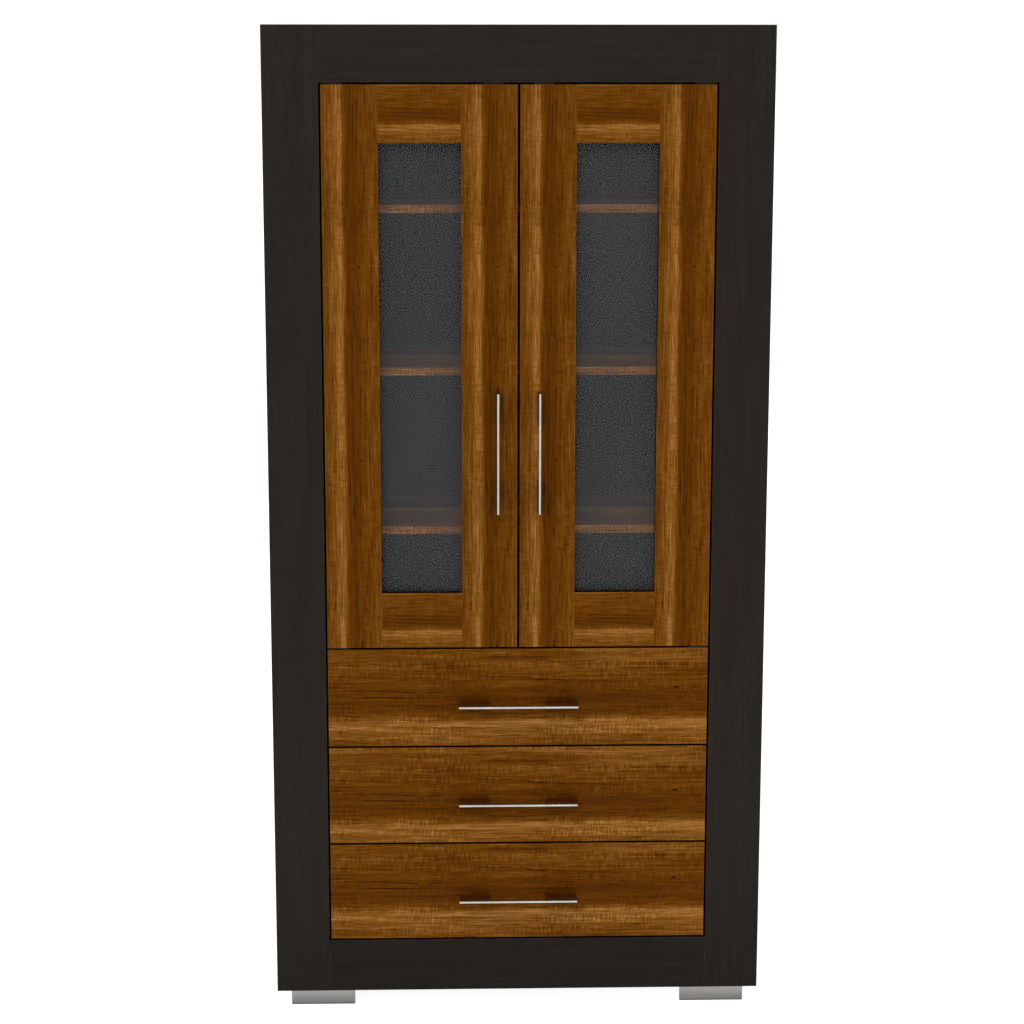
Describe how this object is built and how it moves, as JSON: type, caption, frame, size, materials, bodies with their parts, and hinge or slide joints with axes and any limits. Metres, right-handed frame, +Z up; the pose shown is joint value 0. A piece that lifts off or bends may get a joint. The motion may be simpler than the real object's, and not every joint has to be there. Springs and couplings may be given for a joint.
{
  "type": "china cabinet",
  "caption": "Tall free-standing china cabinet: dark face frame, walnut-look glazed doors over full-width drawers, shelves behind the glass, slim bar handles, low metal feet.",
  "frame": {"origin": "bottom centre of the whole cabinet's box, handles included, at floor level", "axes": "+X to the right as seen from the front, +Y from the doors to the back panel, +Z up"},
  "size_m": [1, 0.434, 2],
  "materials": {
    "dark_wood": "dark wenge-look foil, fine straight grain, satin",
    "walnut": "orange-brown walnut-look foil, streaky grain, satin",
    "back_board": "thin hardboard, dark foil inside, brown behind",
    "drawer_lining": "pale foil on board, matt",
    "glass": "clear float glass",
    "handle_metal": "satin nickel strip on a dark brown lacquered bar and legs",
    "foot_metal": "brushed, silver, on a grey-brown plastic glide strip",
    "steel_fittings": "zinc plated",
    "black_steel": "blackened steel, satin",
    "fitting_plastic": "dark brown, fine grained"
  },
  "bodies": {
    "carcass": {"frame_stile_left": "dark_wood", "frame_stile_right": "dark_wood", "frame_rail_top": "dark_wood", "frame_rail_bottom": "dark_wood", "outer_side_left": "dark_wood", "outer_side_right": "dark_wood", "inner_side_left": "dark_wood", "inner_side_right": "dark_wood", "top_panel": "dark_wood", "bottom_panel": "dark_wood", "middle_deck": "dark_wood", "back_panel": "back_board", "back_panel_nails": "steel_fittings", "shelf_upper": "walnut", "shelf_middle": "walnut", "shelf_lower": "walnut", "shelf_pins": "steel_fittings", "foot_front_left": "foot_metal", "foot_front_right": "foot_metal", "foot_rear_left": "foot_metal", "foot_rear_right": "foot_metal", "pivot_plates": "black_steel", "magnet_catches": "fitting_plastic", "runner_strips": "fitting_plastic"},
    "door_left": {"door_left_hinge_stile": "walnut", "door_left_lock_stile": "walnut", "door_left_top_rail": "walnut", "door_left_bottom_rail": "walnut", "door_left_glass": "glass", "door_left_glass_clips": "steel_fittings", "door_left_handle": "handle_metal", "door_left_pivot_bushes": "fitting_plastic", "door_left_strike_plate": "steel_fittings"},
    "door_right": {"door_right_hinge_stile": "walnut", "door_right_lock_stile": "walnut", "door_right_top_rail": "walnut", "door_right_bottom_rail": "walnut", "door_right_glass": "glass", "door_right_glass_clips": "steel_fittings", "door_right_handle": "handle_metal", "door_right_pivot_bushes": "fitting_plastic", "door_right_strike_plate": "steel_fittings"},
    "drawer_upper": {"drawer_upper_front": "walnut", "drawer_upper_side_left": "drawer_lining", "drawer_upper_side_right": "drawer_lining", "drawer_upper_back": "drawer_lining", "drawer_upper_bottom": "drawer_lining", "drawer_upper_handle": "handle_metal"},
    "drawer_middle": {"drawer_middle_front": "walnut", "drawer_middle_side_left": "drawer_lining", "drawer_middle_side_right": "drawer_lining", "drawer_middle_back": "drawer_lining", "drawer_middle_bottom": "drawer_lining", "drawer_middle_handle": "handle_metal"},
    "drawer_lower": {"drawer_lower_front": "walnut", "drawer_lower_side_left": "drawer_lining", "drawer_lower_side_right": "drawer_lining", "drawer_lower_back": "drawer_lining", "drawer_lower_bottom": "drawer_lining", "drawer_lower_handle": "handle_metal"}
  },
  "joints": [
    {"name": "door_left_hinge", "type": "hinge", "parent": "carcass", "child": "door_left", "pos_m": [-0.364, -0.171, 0.7635], "axis": [0, 0, -1], "range_deg": [0, 110]},
    {"name": "door_right_hinge", "type": "hinge", "parent": "carcass", "child": "door_right", "pos_m": [0.364, -0.171, 0.7635], "axis": [0, 0, 1], "range_deg": [0, 110]},
    {"name": "drawer_upper_slide", "type": "slide", "parent": "carcass", "child": "drawer_upper", "axis": [0, -1, 0], "range_m": [0, 0.24]},
    {"name": "drawer_middle_slide", "type": "slide", "parent": "carcass", "child": "drawer_middle", "axis": [0, -1, 0], "range_m": [0, 0.24]},
    {"name": "drawer_lower_slide", "type": "slide", "parent": "carcass", "child": "drawer_lower", "axis": [0, -1, 0], "range_m": [0, 0.24]}
  ]
}
